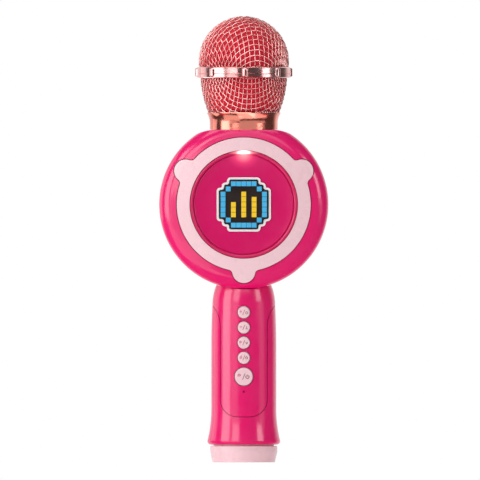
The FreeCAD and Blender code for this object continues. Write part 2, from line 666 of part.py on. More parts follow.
def make_battery():
    low, high, edge = d.tray_floor, d.tray_floor + d.battery_length, d.battery_round
    node("battery_cell", turned("battery_cell", [
        (0, low), (d.battery_radius - edge, low, edge), (d.battery_radius, low + edge),
        (d.battery_radius, high - edge, edge), (d.battery_radius - edge, high),
        (d.nub_radius, high), (d.nub_radius, high + d.nub_height), (0, high + d.nub_height),
    ]), y=d.battery_y)


def make_boards():
    span = (-d.board_half_width, d.board_half_width)
    node("control_board", block("control_board", span, (d.board_low, d.board_high),
                                (d.board_rear, d.board_front)), FRONT,
         -d.board_half_width, -d.board_rear, d.board_low)
    chips = [
        block(f"chip_{index}", (x - wide, x + wide), (z - tall, z + tall),
              (d.board_rear - thick, d.board_rear))
        for index, (wide, tall, thick, x, z) in enumerate(CHIPS)
    ]
    node("board_chips", group("board_chips", chips), FRONT)
    half = d.switch_width / 2
    cases = []
    for index, height in enumerate([*button_heights(), d.power_z]):
        case = block(f"switch_case_{index}", (-half, half), (height - half, height + half),
                     (d.board_front, d.switch_top))
        hole = rod(f"switch_hole_{index}", d.switch_hole_radius, d.switch_hole_floor,
                   d.switch_top + d.overcut, 0, height)
        cases.append(cut(f"switch_{index}", case, hole))
    node("tact_switches", group("tact_switches", cases), FRONT)
    node("indicator_light", turned("indicator_light", [
        (0, d.board_front), (d.indicator_foot, d.board_front), (d.indicator_foot, d.indicator_step),
        (d.indicator_radius, d.indicator_step), (d.indicator_radius, d.indicator_face),
        (0, d.indicator_face),
    ]), FRONT, z=d.indicator_z)


def make_button(label, plunger, height, radius, flange, flange_low):
    """A push button and the switch plunger that it rests on. The button's local Z points at the user."""
    top, edge, side = flange_low + d.flange_thick, d.button_edge, d.button_face - d.button_crown
    crown = tangent_arc(radius - edge, d.button_crown)
    node(label, turned(label, [
        (0, d.stem_low), (d.stem_radius, d.stem_low), (d.stem_radius, flange_low),
        (flange, flange_low), (flange, top), (radius, top), (radius, side - edge, edge),
        (radius - edge, side, crown), (0, d.button_face),
    ]), FRONT, z=height)
    node(plunger, rod(plunger, d.plunger_radius, d.plunger_low, d.stem_low), FRONT,
         y=-d.plunger_low, z=height)


def make_buttons():
    for number, height in enumerate(button_heights(), start=1):
        make_button(f"button_{number}", f"plunger_{number}", height, d.button_radius,
                    d.button_flange, d.flange_low)
    make_button("power_button", "power_plunger", d.power_z, d.power_radius, d.power_flange,
                d.power_flange_low)


def make_charging_socket():
    shell = obround("port_outside", d.port_length, d.port_width, d.port_low, d.port_top)
    inside = obround("port_inside", d.port_length - 2 * d.port_wall, d.port_width - 2 * d.port_wall,
                     d.port_low - d.overcut, d.port_floor)
    node("charge_port", cut("charge_port", shell, inside))
    length, thick = d.tongue_half_length, d.contact_half_thick
    node("charge_tongue", block("charge_tongue", (-length, length), (-thick, thick),
                                (d.contact_low, d.port_floor)),
         x=-length, y=-thick, z=d.contact_low)
    half = d.charge_half_width
    node("charge_board", block("charge_board", (-half, half), (d.charge_front, d.charge_rear),
                               (d.charge_low, d.charge_top)),
         x=-half, y=d.charge_front, z=d.charge_low)


# Round body

def make_front_shell():
    pocket = cut("trim_pocket", slab("trim_pocket_plan", trim_outline(d.trim_gap),
                                     d.cutter_low, d.cutter_depth),
                 drum_half("trim_pocket_floor", d.trim_pocket))
    window = rod("display_window", d.trim_bore, d.led_board_rear, d.cutter_depth)
    bosses = [rod(f"front_boss_{index}", d.front_boss, 0, d.post_top, x, y)
              for index, (x, y) in enumerate(BODY_SCREWS)]
    led_bosses = [rod(f"led_boss_{index}", d.led_boss, d.led_board_front,
                      d.cavity_depth + d.boss_bite, x, y)
                  for index, (x, y) in enumerate(LED_SCREWS)]
    pilots = [rod(f"front_pilot_{index}", d.screw_radius, -d.overcut, d.body_pilot_depth, x, y)
              for index, (x, y) in enumerate(BODY_SCREWS)]
    led_pilots = [rod(f"led_pilot_{index}", d.screw_radius, d.led_board_rear,
                      d.led_board_rear + d.led_screw_length + d.pilot_spare, x, y)
                  for index, (x, y) in enumerate(LED_SCREWS)]
    hollow = cut("front_trimmed", body_shell("front"), pocket, window)
    solid = fused("front_solid", hollow, *bosses, *led_bosses)
    node("front_body_shell", cut("front_body_shell", solid, *pilots, *led_pilots,
                                 *top_and_neck_holes("front_hole"),
                                 *head_screw_holes("front_head_hole", 1)), FRONT, z=d.body_z)
    screws("body_screws", d.body_screw_length, -d.body_screw_seat, BODY_SCREWS, FRONT, d.body_z)


def make_rear_shell():
    posts = [rod(f"rear_post_{index}", d.rear_post, 0, d.post_top, x, y)
             for index, (x, y) in enumerate(BODY_SCREWS)]
    bores = [rod(f"rear_bore_{index}", d.body_bore, d.body_screw_seat, d.cutter_depth, x, y)
             for index, (x, y) in enumerate(BODY_SCREWS)]
    holes = [rod(f"rear_hole_{index}", d.screw_radius, -d.overcut, d.body_screw_seat + d.overcut, x, y)
             for index, (x, y) in enumerate(BODY_SCREWS)]
    pilots = [rod(f"speaker_pilot_{index}", d.screw_radius, d.speaker_rear,
                  d.speaker_front + d.speaker_screw_length + d.pilot_spare, x, y)
              for index, (x, y) in enumerate(SPEAKER_SCREWS)]
    window = rod("speaker_window", d.speaker_window, d.speaker_rear, d.cutter_depth)
    seat = rod("grille_seat", d.grille_bore, d.grille_seat, d.cutter_depth)
    solid = fused("rear_solid", body_shell("rear"), *posts)
    node("rear_body_shell", cut("rear_body_shell", solid, window, seat, *bores, *holes, *pilots,
                                *top_and_neck_holes("rear_hole"),
                                *head_screw_holes("rear_head_hole", -1)), REAR, z=d.body_z)


def make_trim_ring():
    layer = cut("trim_layer", drum_half("trim_face", 0), drum_half("trim_back", d.trim_thick))
    plan = slab("trim_plan", trim_outline(0), d.cutter_low, d.cutter_depth)
    window = rod("trim_window", d.trim_bore, 0, d.cutter_depth)
    node("trim_ring", cut("trim_ring", common("trim_blank", layer, plan), window), FRONT, z=d.body_z)


def make_light_ring():
    node("light_ring", turned("light_ring", [
        (d.led_groove_radius, d.led_board_front), (d.light_flange, d.led_board_front),
        (d.light_flange, d.cavity_depth), (d.light_radius, d.cavity_depth),
        (d.light_radius, d.bead_low, d.bead_radius), (d.light_bore, d.bead_low),
        (d.light_bore, d.light_ledge), (d.light_ledge_bore, d.light_ledge),
        (d.light_ledge_bore, d.led_board_front), (d.led_groove_bore, d.led_board_front),
        (d.led_groove_bore, d.led_groove_top), (d.led_groove_radius, d.led_groove_top),
    ]), FRONT, z=d.body_z)


def make_display_disc():
    rise = tangent_arc(d.disc_rim_radius - d.disc_flat, d.disc_rim - d.disc_depth)
    node("display_disc", turned("display_disc", [
        (0, d.light_ledge), (d.disc_radius, d.light_ledge), (d.disc_radius, d.disc_edge),
        (d.disc_rim_radius, d.disc_rim, -rise), (d.disc_flat, d.disc_depth), (0, d.disc_depth),
    ]), FRONT, z=d.body_z)


def make_led_board():
    blank = rod("led_board_blank", d.led_board_radius, d.led_board_rear, d.led_board_front)
    low, high = d.led_board_rear - d.overcut, d.led_board_front + d.overcut
    holes = [rod(f"led_hole_{index}", d.screw_radius, low, high, x, y)
             for index, (x, y) in enumerate(LED_SCREWS)]
    middle = rod("led_board_middle", d.led_board_hole, low, high)
    node("led_board", cut("led_board", blank, middle, *holes), FRONT, z=d.body_z)
    spots = ring_spots(d.led_ring, *range(0, 360, 360 // LED_COUNT))
    chips = [rod(f"led_{index}", d.led_radius, d.led_board_front, d.led_board_front + d.led_height, x, y)
             for index, (x, y) in enumerate(spots)]
    node("led_chips", group("led_chips", chips), FRONT, z=d.body_z)
    screws("led_board_screws", d.led_screw_length, d.led_board_rear, LED_SCREWS, FRONT, d.body_z)


def badge_outline(border, convex, concave):
    """A stepped eight-sided outline, two tiles off each corner, grown by a border, with soft corners."""
    narrow, middle, wide = (d.tile_pitch * tiles + border for tiles in BADGE_ROWS)
    quarter = [(wide, narrow), (middle, narrow), (middle, middle), (narrow, middle), (narrow, wide)]
    left = [(-x, y) for x, y in reversed(quarter)]
    corners = quarter + left + [(-x, -y) for x, y in quarter + left]
    softened = []
    for before, corner, after in zip(corners[-1:] + corners, corners, corners[1:] + corners[:1]):
        ahead, onward = heading(before, corner), heading(corner, after)
        left_turn = ahead[0] * onward[1] > ahead[1] * onward[0]
        radius = convex if left_turn else concave
        softened.append((*(spot - radius * step for spot, step in zip(corner, ahead)),
                         radius if left_turn else -radius))
        softened.append(tuple(spot + radius * step for spot, step in zip(corner, onward)))
    return softened


def heading(start, end):
    """The level or upright direction, as a pair of whole numbers, from one corner to the next."""
    x, y = (last.value - first.value for first, last in zip(start, end))
    return (round(x / abs(x)), 0) if abs(x) > abs(y) else (0, round(y / abs(y)))


def tile(name, column, row, low):
    half = d.tile_size / 2
    x, y = d.tile_pitch * column, d.tile_pitch * row
    return block(name, (x - half, x + half), (y - half, y + half), (low, low + d.tile_height))


def make_badge():
    back, face = d.disc_depth, d.disc_depth + d.backing_thick
    low = face + d.field_thick
    backing = badge_outline(d.backing_border, d.backing_convex, d.backing_concave)
    node("badge_backing", slab("badge_backing", backing, back, face), FRONT, y=-back, z=d.body_z)
    field = badge_outline(d.field_border, d.field_convex, d.field_concave)
    node("badge_field", slab("badge_field", field, face, low), FRONT, y=-face, z=d.body_z)
    inner = BADGE_RIM - 1
    grid = range(-BADGE_RIM, BADGE_RIM + 1)
    rim = [(column, row) for column in grid for row in grid
           if (abs(column) == BADGE_RIM and abs(row) < inner)
           or (abs(row) == BADGE_RIM and abs(column) < inner) or abs(column) == abs(row) == inner]
    blue = [tile(f"blue_tile_{index}", column, row, low) for index, (column, row) in enumerate(rim)]
    node("badge_blue_tiles", group("badge_blue_tiles", blue), FRONT, z=d.body_z)
    bars = [(column, BAR_FOOT + step) for column, height in BARS for step in range(height)]
    gold = [tile(f"yellow_tile_{index}", column, row, low) for index, (column, row) in enumerate(bars)]
    node("badge_yellow_bars", group("badge_yellow_bars", gold), FRONT, z=d.body_z)


def make_speaker():
    node("speaker_frame", frame_with_holes(), REAR, z=d.body_z)
    node("speaker_magnet", tube("speaker_magnet", d.magnet_radius, d.magnet_bore, d.magnet_low,
                                d.basket_low), REAR, z=d.body_z)
    node("speaker_yoke", turned("speaker_yoke", [
        (0, d.yoke_low), (d.yoke_radius, d.yoke_low), (d.yoke_radius, d.magnet_low),
        (d.pole_radius, d.magnet_low), (d.pole_radius, d.pole_top), (0, d.pole_top),
    ]), REAR, z=d.body_z)
    node("speaker_coil", tube("speaker_coil", d.coil_radius, d.coil_bore, d.coil_low, d.cone_foot),
         REAR, z=d.body_z)
    cap = tangent_arc(d.cone_foot_radius, d.dust_cap_top - d.cone_foot - d.cone_thick)
    node("speaker_cone", turned("speaker_cone", [
        (0, d.cone_foot), (d.cone_foot_radius, d.cone_foot), (d.cone_radius, d.cone_rim),
        (d.cone_radius, d.cone_rim + d.cone_thick), (d.cone_foot_radius, d.cone_foot + d.cone_thick, cap),
        (0, d.dust_cap_top),
    ]), REAR, z=d.body_z)
    node("speaker_surround", turned("speaker_surround", [
        (d.surround_bore, d.surround_low), (d.surround_step, d.rim_step), (d.rim_bore, d.rim_step),
        (d.rim_bore, d.rim_step + d.surround_thick), (d.surround_step, d.rim_step + d.surround_thick),
        (d.surround_bore, d.surround_low + d.surround_thick),
    ]), REAR, z=d.body_z)
    node("speaker_gasket", tube("speaker_gasket", d.gasket_radius, d.gasket_bore, d.speaker_rear,
                                d.cavity_depth), REAR, z=d.body_z)
    screws("speaker_screws", d.speaker_screw_length, d.speaker_front, SPEAKER_SCREWS, REAR, d.body_z)


def frame_with_holes():
    basket = turned("basket", [
        (d.basket_bore, d.basket_low), (d.basket_foot, d.basket_low), (d.basket_radius, d.speaker_front),
        (d.speaker_flange, d.speaker_front), (d.speaker_flange, d.speaker_rear),
        (d.rim_bore, d.speaker_rear), (d.rim_bore, d.rim_step), (d.rim_step_bore, d.rim_step),
        (d.basket_inner_foot, d.basket_floor), (d.basket_bore, d.basket_floor),
    ])
    holes = [rod(f"flange_hole_{index}", d.screw_radius, d.speaker_front - d.overcut,
                 d.speaker_rear + d.overcut, x, y)
             for index, (x, y) in enumerate(SPEAKER_SCREWS)]
    return cut("speaker_frame", basket, *holes)


def make_speaker_grille():
    """A disc with one hole in the middle and rings of holes around it."""
    body = turned("speaker_grille", [
        (0, d.grille_seat), (d.grille_radius, d.grille_seat), (d.grille_radius, d.grille_top),
        (0, d.grille_top),
    ])
    patterns = []
    for ring in range(GRILLE_RINGS + 1):
        drawing = sketch_on(body, "XY_Plane", f"grille_ring_{ring}")
        centre = Vector(d.hole_ring.value * ring, 0, 0)
        drawing.addGeometry(Part.Circle(centre, Vector(0, 0, 1), d.hole_radius.value), False)
        fix_point(drawing, 0, 3, d.hole_ring * ring, size(0))
        number = drawing.addConstraint(Sketcher.Constraint("Radius", 0, d.hole_radius.value))
        bind(drawing, f"Constraints[{number}]", d.hole_radius)
        doc.recompute()
        hole = body.newObject("PartDesign::Pocket", f"grille_hole_{ring}")
        hole.Profile = drawing
        hole.Reversed = True
        hole.Type = "ThroughAll"
        doc.recompute()
        patterns.append(hole)
        if ring:
            ring_of_holes = body.newObject("PartDesign::PolarPattern", f"grille_pattern_{ring}")
            ring_of_holes.Originals = [hole]
            ring_of_holes.Axis = (drawing, ["N_Axis"])
            ring_of_holes.Occurrences = HOLES_IN_FIRST_RING * ring
            body.Tip = ring_of_holes
            doc.recompute()
    node("speaker_grille", body, REAR, z=d.body_z)


# Head

def make_collar():
    flare = tangent_arc(d.collar_lip_z - d.collar_flare_z, d.collar_lip_radius - d.collar_radius)
    node("grille_collar", turned("grille_collar", [
        (d.collar_floor_bore, d.collar_low), (d.collar_radius, d.collar_low),
        (d.collar_radius, d.collar_flare_z, -flare), (d.collar_lip_radius, d.collar_lip_z),
        (d.collar_lip_radius - d.collar_lip_edge, d.collar_top), (d.mesh_seat_radius, d.collar_top),
        (d.mesh_seat_radius, d.mesh_seat), (d.mesh_seat_bore, d.mesh_seat),
        (d.collar_bore, d.collar_bore_top), (d.collar_bore, d.collar_floor),
        (d.collar_floor_bore, d.collar_floor),
    ]))


def make_mesh_shells():
    bowl, wall = d.bowl_curve, d.mesh_wall
    node("lower_grille", turned("lower_grille", [
        (d.bowl_low_radius - wall, d.mesh_seat), (d.bowl_low_radius, d.mesh_seat, bowl),
        (d.bowl_radius, d.band_low), (d.bowl_radius, d.web_low), (d.bowl_radius - wall, d.web_low),
        (d.bowl_radius - wall, d.band_low, wall - bowl),
    ]))
    outer, inner = d.dome_radius, d.dome_radius - wall
    node("upper_grille", turned("upper_grille", [
        (inner, d.web_high), (outer, d.web_high), (outer, d.dome_z, outer),
        (0, d.dome_z + outer), (0, d.dome_z + inner, -inner), (inner, d.dome_z),
    ]))


def make_band():
    lip, side, crease = d.band_lip_radius, d.band_radius, d.band_crease
    ring = turned("band_ring", [
        (0, d.band_low), (lip, d.band_low), (side, d.band_low + d.band_lip_height),
        (side, d.band_crease_z - d.band_crease_half), (crease, d.band_crease_z),
        (side, d.band_crease_z + d.band_crease_half), (side, d.band_high - d.band_lip_height),
        (lip, d.band_high), (0, d.band_high),
    ])
    ribs = []
    for index in range(DIMENSIONS["rib_count"]):
        rib = turned(f"rib_{index}", [
            (0, d.rib_low), (d.rib_radius - d.rib_round, d.rib_low, d.rib_round),
            (d.rib_radius, d.rib_low + d.rib_round), (d.rib_radius, d.rib_high - d.rib_round, d.rib_round),
            (d.rib_radius - d.rib_round, d.rib_high), (0, d.rib_high),
        ])
        x, y = polar(d.rib_reach - d.rib_radius, d.rib_turn - 90 + size(360) / d.rib_count * index)
        ribs.append(place(rib, UP, x, y))
    bore = turned("band_bore", [
        (0, d.band_low - d.overcut), (d.low_rabbet, d.band_low - d.overcut), (d.low_rabbet, d.web_low),
        (d.web_bore, d.web_low), (d.web_bore, d.web_high), (d.high_rabbet, d.web_high),
        (d.high_rabbet, d.band_high + d.overcut), (0, d.band_high + d.overcut),
    ])
    node("grille_band", cut("grille_band", fused("band_solid", ring, *ribs), bore))


def make_foam():
    drop = d.dome_z - d.foam_dome_low
    dome_low_radius = root(d.foam_dome_radius * d.foam_dome_radius - drop * drop)
    node("foam_liner", turned("foam_liner", [
        (d.foam_bore, d.foam_low), (d.foam_low_radius, d.foam_low, d.foam_bowl_curve),
        (d.foam_bowl_radius, d.foam_bowl_z), (d.foam_waist_radius, d.foam_waist_low),
        (d.foam_waist_radius, d.foam_waist_high), (dome_low_radius, d.foam_dome_low, d.foam_dome_radius),
        (0, d.dome_z + d.foam_dome_radius), (0, d.foam_bore_top), (d.foam_bore, d.foam_bore_top),
    ]))


def make_capsule():
    mount = turned("mount_blank", [
        (d.mount_bore, d.mount_low), (d.mount_plug, d.mount_low), (d.mount_plug, d.collar_low),
        (d.mount_boss, d.collar_low), (d.mount_boss, d.collar_floor), (d.mount_plate, d.collar_floor),
        (d.mount_plate, d.mount_plate_top), (d.mount_stem, d.mount_plate_top),
        (d.mount_stem, d.mount_stem_top), (d.mount_cup_seat, d.mount_stem_top),
        (d.mount_cup_seat, d.mount_top), (d.mount_bore, d.mount_top),
    ])
    pilots = [rod(f"mount_pilot_{index}", d.screw_radius, d.collar_low - d.overcut, d.mount_pilot_top, x, y)
              for index, (x, y) in enumerate(HEAD_SCREWS)]
    node("capsule_mount", cut("capsule_mount", mount, *pilots))
    node("capsule_cup", turned("capsule_cup", [
        (d.cup_lead_hole, d.mount_top), (d.cup_radius, d.mount_top), (d.cup_radius, d.cup_top),
        (d.cup_bore, d.cup_top), (d.cup_bore, d.cup_floor), (d.cup_lead_hole, d.cup_floor),
    ]))
    edge = d.capsule_radius - d.capsule_edge
    node("mic_capsule", turned("mic_capsule", [
        (0, d.cup_floor), (d.capsule_radius, d.cup_floor),
        (d.capsule_radius, d.capsule_top - d.capsule_edge, d.capsule_edge), (edge, d.capsule_top),
        (0, d.capsule_top),
    ]))
    inner_top = d.body_z + d.flat_height - d.top_wall
    screws("head_screws", d.head_screw_length, inner_top, HEAD_SCREWS)


def make_lead(label, route):
    """A round lead along straight runs that are joined by tangent arcs."""
    points = [Vector(*point) for point in route]
    bend, edges, here = d.lead_bend.value, [], points[0]
    for before, corner, after in zip(points, points[1:], points[2:]):
        ahead = (corner - before).normalize()
        onward = (after - corner).normalize()
        half_turn = ahead.getAngle(onward) / 2
        back = bend * math.tan(half_turn)
        start, end = corner - ahead * back, corner + onward * back
        inward = (onward - ahead).normalize()
        middle = corner + inward * (bend / math.cos(half_turn) - bend)
        edges += [Part.LineSegment(here, start).toShape(), Part.Arc(start, middle, end).toShape()]
        here = end
    edges.append(Part.LineSegment(here, points[-1]).toShape())
    path = Part.Wire(edges)
    section = Part.Wire(Part.makeCircle(d.lead_radius.value, points[0], points[1] - points[0]))
    item = doc.addObject("Part::Feature", label)
    item.Shape = path.makePipeShell([section], True, False)
    expected = math.pi * d.lead_radius.value ** 2 * path.Length
    print(f"{label}: volume is {item.Shape.Volume / expected:.4f} of its section times its length")
    node(label, item)


def make_leads():
    for label, route in LEADS.items():
        make_lead(label, route)


def write_parts():
    """Checks every object, then writes one file for each sub-part."""
    doc.recompute()
    for item in doc.Objects:
        if "Invalid" in item.State or "Error" in item.State:
            raise RuntimeError(f"{item.Name} ({item.Label}) failed: {item.getStatusString()}")
    for item in NODES:
        if item.Shape.isNull() or not item.Shape.isValid() or not item.Shape.Solids:
            raise RuntimeError(f"{item.Label} has no valid shape")
    os.makedirs("parts", exist_ok=True)
    for item in NODES:
        item.Shape.exportStep(os.path.join("parts", f"{item.Label}.step"))
        print(f"{item.Label}: {len(item.Shape.Solids)} solids, {item.Shape.Volume:.1f} mm3")


for make in (
    make_end_cap, make_handle, make_tray, make_battery, make_boards, make_buttons,
    make_charging_socket, make_neck_spigot, make_front_shell, make_rear_shell, make_trim_ring,
    make_light_ring, make_display_disc, make_led_board, make_badge, make_speaker,
    make_speaker_grille, make_collar, make_mesh_shells, make_band, make_foam, make_capsule,
    make_leads,
):
    make()
write_parts()
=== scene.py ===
import json
import math

import bmesh
import bpy
import numpy as np
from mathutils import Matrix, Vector, noise


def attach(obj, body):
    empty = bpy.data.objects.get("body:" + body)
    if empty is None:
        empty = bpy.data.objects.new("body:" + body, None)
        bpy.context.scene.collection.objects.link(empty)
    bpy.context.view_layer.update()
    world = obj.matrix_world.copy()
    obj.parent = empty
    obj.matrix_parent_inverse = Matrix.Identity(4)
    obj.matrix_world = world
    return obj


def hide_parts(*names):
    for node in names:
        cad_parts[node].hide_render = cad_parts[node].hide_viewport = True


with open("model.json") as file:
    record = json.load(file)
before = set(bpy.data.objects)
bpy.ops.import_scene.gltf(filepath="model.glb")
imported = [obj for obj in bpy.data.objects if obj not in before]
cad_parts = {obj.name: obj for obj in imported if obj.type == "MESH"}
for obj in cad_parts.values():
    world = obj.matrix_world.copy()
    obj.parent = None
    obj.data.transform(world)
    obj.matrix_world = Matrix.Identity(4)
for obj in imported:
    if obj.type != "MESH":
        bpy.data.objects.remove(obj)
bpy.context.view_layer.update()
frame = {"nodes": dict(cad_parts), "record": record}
NODES = frame["nodes"]
MM = 0.001

# Height of the round body's axis, in metres
BODY_Z = 0.1444

# Height of the domed mesh's centre and its outer radius, in millimetres
DOME_Z = 224.6
DOME_RADIUS = 25.4


# ---------------------------------------------------------------- materials

class Shader:
    """A Principled material with the few node helpers that the finishes share."""

    def __init__(self, name, roughness=0.4, **sockets):
        self.material = bpy.data.materials.new(name)
        self.material.use_nodes = True
        self.tree = self.material.node_tree
        self.bsdf = self.tree.nodes["Principled BSDF"]
        self.place = self.node("ShaderNodeTexCoord").outputs["Object"]
        self.set("Roughness", roughness)
        for socket, value in sockets.items():
            self.set(socket.replace("_", " "), value)

    def node(self, kind, **fields):
        made = self.tree.nodes.new(kind)
        for field, value in fields.items():
            setattr(made, field, value)
        return made

    def feed(self, socket, value):
        if isinstance(value, bpy.types.NodeSocket):
            self.tree.links.new(value, socket)
        elif isinstance(value, (tuple, list)) and len(value) == 3 and socket.type == "RGBA":
            socket.default_value = (*value, 1)
        else:
            socket.default_value = value

    def set(self, socket, value):
        self.feed(self.bsdf.inputs[socket], value)

    def noise(self, scale, detail=2.0, distortion=0.0, place=None):
        made = self.node("ShaderNodeTexNoise")
        self.feed(made.inputs["Vector"], place or self.place)
        self.feed(made.inputs["Scale"], scale)
        self.feed(made.inputs["Detail"], detail)
        self.feed(made.inputs["Distortion"], distortion)
        return made.outputs["Fac"]

    def cells(self, scale):
        made = self.node("ShaderNodeTexVoronoi", feature="F1")
        self.feed(made.inputs["Vector"], self.place)
        self.feed(made.inputs["Scale"], scale)
        return made.outputs["Distance"]

    def stretch(self, x, y, z):
        made = self.node("ShaderNodeMapping")
        self.feed(made.inputs["Vector"], self.place)
        made.inputs["Scale"].default_value = (x, y, z)
        return made.outputs["Vector"]

    def spread(self, value, low, high, to_low=0.0, to_high=1.0):
        made = self.node("ShaderNodeMapRange", interpolation_type="SMOOTHSTEP")
        for socket, amount in zip(made.inputs, (value, low, high, to_low, to_high)):
            self.feed(socket, amount)
        return made.outputs["Result"]

    def blend(self, factor, first, second):
        made = self.node("ShaderNodeMix", data_type="RGBA")
        self.feed(made.inputs["Factor"], factor)
        self.feed(made.inputs["A"], first)
        self.feed(made.inputs["B"], second)
        return made.outputs["Result"]

    def add(self, first, second):
        made = self.node("ShaderNodeMath", operation="ADD")
        self.feed(made.inputs[0], first)
        self.feed(made.inputs[1], second)
        return made.outputs[0]

    def distance(self, centre, x):
        """Distance from a point of the object, with its part along X multiplied by x."""
        scaled = self.node("ShaderNodeMapping", vector_type="TEXTURE")
        self.feed(scaled.inputs["Vector"], self.place)
        scaled.inputs["Location"].default_value = centre
        scaled.inputs["Scale"].default_value = (1 / x, 1, 1)
        length = self.node("ShaderNodeVectorMath", operation="LENGTH")
        self.feed(length.inputs[0], scaled.outputs["Vector"])
        return length.outputs["Value"]

    def bump(self, height, strength, depth=0.0001):
        made = self.node("ShaderNodeBump")
        self.feed(made.inputs["Height"], height)
        self.feed(made.inputs["Strength"], strength)
        self.feed(made.inputs["Distance"], depth)
        self.set("Normal", made.outputs["Normal"])

    def mottled(self, light, dark, scale):
        """Lets the colour drift between two shades."""
        self.set("Base Color", self.blend(self.spread(self.noise(scale), 0.35, 0.65), light, dark))

    def patchy_gloss(self, low, high, scale):
        """Lets the roughness wander between two values."""
        self.set("Roughness", self.spread(self.noise(scale, 3.0), 0.3, 0.7, low, high))


def moulded(name, light, dark, gloss=(0.15, 0.2), **sockets):
    """Injection-moulded gloss plastic: slight colour drift, uneven gloss and a faint orange peel."""
    made = Shader(name, **sockets)
    made.mottled(light, dark, 38.0)
    made.patchy_gloss(gloss[0], gloss[1], 160.0)
    made.bump(made.noise(900.0, 2.0), 0.05)
    return made.material


def display_gloss():
    """The deep glossy display, with a painted highlight at its top edge: a lighter colour and an emitted glow
    round a point near the ring's top.
    """
    made = Shader("display_gloss", Coat_Weight=0.3, Coat_Roughness=0.06)
    # the centre of the painted highlight and glow
    lamp = (0, -0.0222, BODY_Z + 0.0275)
    distance_to_painted_glint = made.distance(lamp, x=0.8)
    # painted light: the colour is lighter near the top of the display
    away = made.spread(distance_to_painted_glint, 0.004, 0.0175)
    made.set("Base Color", made.blend(away, (0.70, 0.008, 0.135), (0.67, 0.001, 0.118)))
    made.patchy_gloss(0.2, 0.26, 140.0)
    made.bump(made.noise(700.0, 2.0), 0.03)
    # painted glow: warm white emission fading to pink, strongest near the top point
    made.set("Emission Color", made.blend(made.spread(distance_to_painted_glint, 0.0, 0.005), (1.0, 0.62, 0.5), (0.9, 0.10, 0.2)))
    made.set("Emission Strength", made.spread(distance_to_painted_glint, 0.0, 0.0085, 0.6, 0.0))
    return made.material


def light_guide():
    """The translucent ring round the display, with a painted highlight at its top: an emitted spot and a
    short sideways streak.
    """
    made = Shader("light_guide", Coat_Weight=0.5, Coat_Roughness=0.05)
    front = -0.0236
    distance_to_painted_glint = made.distance((0, front, BODY_Z + 0.0292), x=0.6)
    painted_streak_distance = made.distance((0, front, BODY_Z + 0.0290), x=0.16)
    made.set("Base Color", made.blend(made.noise(120.0, 2.0), (0.74, 0.02, 0.14), (0.62, 0.006, 0.095)))
    made.patchy_gloss(0.14, 0.2, 200.0)
    made.bump(made.noise(800.0, 2.0), 0.03)
    # painted highlight: a warm white spot fading to pink and a short sideways streak, made as emission near
    # the top
    painted_glint_fade = made.spread(distance_to_painted_glint, 0.0006, 0.0028)
    made.set("Emission Color", made.blend(painted_glint_fade, (1.0, 0.96, 0.86), (1.0, 0.42, 0.40)))
    painted_glint_core = made.spread(distance_to_painted_glint, 0.0004, 0.0034, 2.4, 0.0)
    painted_flare = made.spread(painted_streak_distance, 0.0002, 0.0016, 0.9, 0.0)
    made.set("Emission Strength", made.add(painted_glint_core, painted_flare))
    return made.material


def plating(name, light, dark, gloss, dents, scale):
    """Thin plating over a surface that isn't quite true, so that its reflections waver."""
    made = Shader(name, Metallic=1.0)
    made.mottled(light, dark, 60.0)
    made.patchy_gloss(gloss[0], gloss[1], 300.0)
    made.bump(made.noise(scale, 2.0), dents, 0.0003)
    return made.material


def foam():
    """Open-cell foam: a crimson skin with pits, darker in the pits as painted shade."""
    made = Shader("crimson_foam", roughness=0.95, Sheen_Weight=0.25, Sheen_Roughness=0.5)
    pits_and_painted_shade = made.spread(made.cells(1500.0), 0.05, 0.42)
    shade = made.blend(made.noise(90.0, 3.0), (0.86, 0.006, 0.038), (0.74, 0.0035, 0.029))
    # painted shade: the colour is darker in the pits, which the bump also sinks
    made.set("Base Color", made.blend(pits_and_painted_shade, (0.50, 0.0, 0.017), shade))
    made.bump(pits_and_painted_shade, 0.6, 0.0003)
    return made.material


def board():
    """Green solder mask with rows of copper traces under it."""
    made = Shader("circuit_board", Coat_Weight=0.3)
    bricks = made.node("ShaderNodeTexBrick")
    made.feed(bricks.inputs["Vector"], made.place)
    made.feed(bricks.inputs["Scale"], 260.0)
    made.feed(bricks.inputs["Mortar Size"], 0.035)
    mask = made.blend(made.noise(300.0), (0.01, 0.16, 0.05), (0.008, 0.11, 0.035))
    made.set("Base Color", made.blend(bricks.outputs["Fac"], mask, (0.05, 0.3, 0.1)))
    made.patchy_gloss(0.3, 0.45, 400.0)
    made.bump(bricks.outputs["Fac"], 0.2)
    return made.material


def wound_wire():
    """Copper wire wound round the loudspeaker's axis."""
    made = Shader("copper_coil", Metallic=1.0)
    turns = made.node("ShaderNodeTexWave", bands_direction="Y")
    made.feed(turns.inputs["Vector"], made.place)
    made.feed(turns.inputs["Scale"], 1500.0)
    # painted shade: the colour darkens between the turns, where the bump also sinks
    made.set("Base Color", made.blend(turns.outputs["Fac"], (0.35, 0.09, 0.03), (0.9, 0.38, 0.18)))
    made.patchy_gloss(0.25, 0.4, 500.0)
    made.bump(turns.outputs["Fac"], 0.5)
    return made.material


def paper():
    """Pressed paper with its fibres drawn out along one direction."""
    made = Shader("cone_paper", roughness=0.85)
    fibres = made.noise(1.0, 5.0, 0.6, made.stretch(500.0, 140.0, 500.0))
    made.set("Base Color", made.blend(fibres, (0.02, 0.018, 0.017), (0.07, 0.062, 0.056)))
    made.bump(fibres, 0.5)
    return made.material


def simple(name, light, dark, gloss, scale=200.0, strength=0.12, **sockets):
    """Plain stock of one colour with the drift, uneven gloss and surface texture of its kind."""
    made = Shader(name, **sockets)
    made.mottled(light, dark, scale)
    made.patchy_gloss(gloss[0], gloss[1], scale * 2)
    made.bump(made.noise(scale * 4, 3.0), strength)
    return made.material


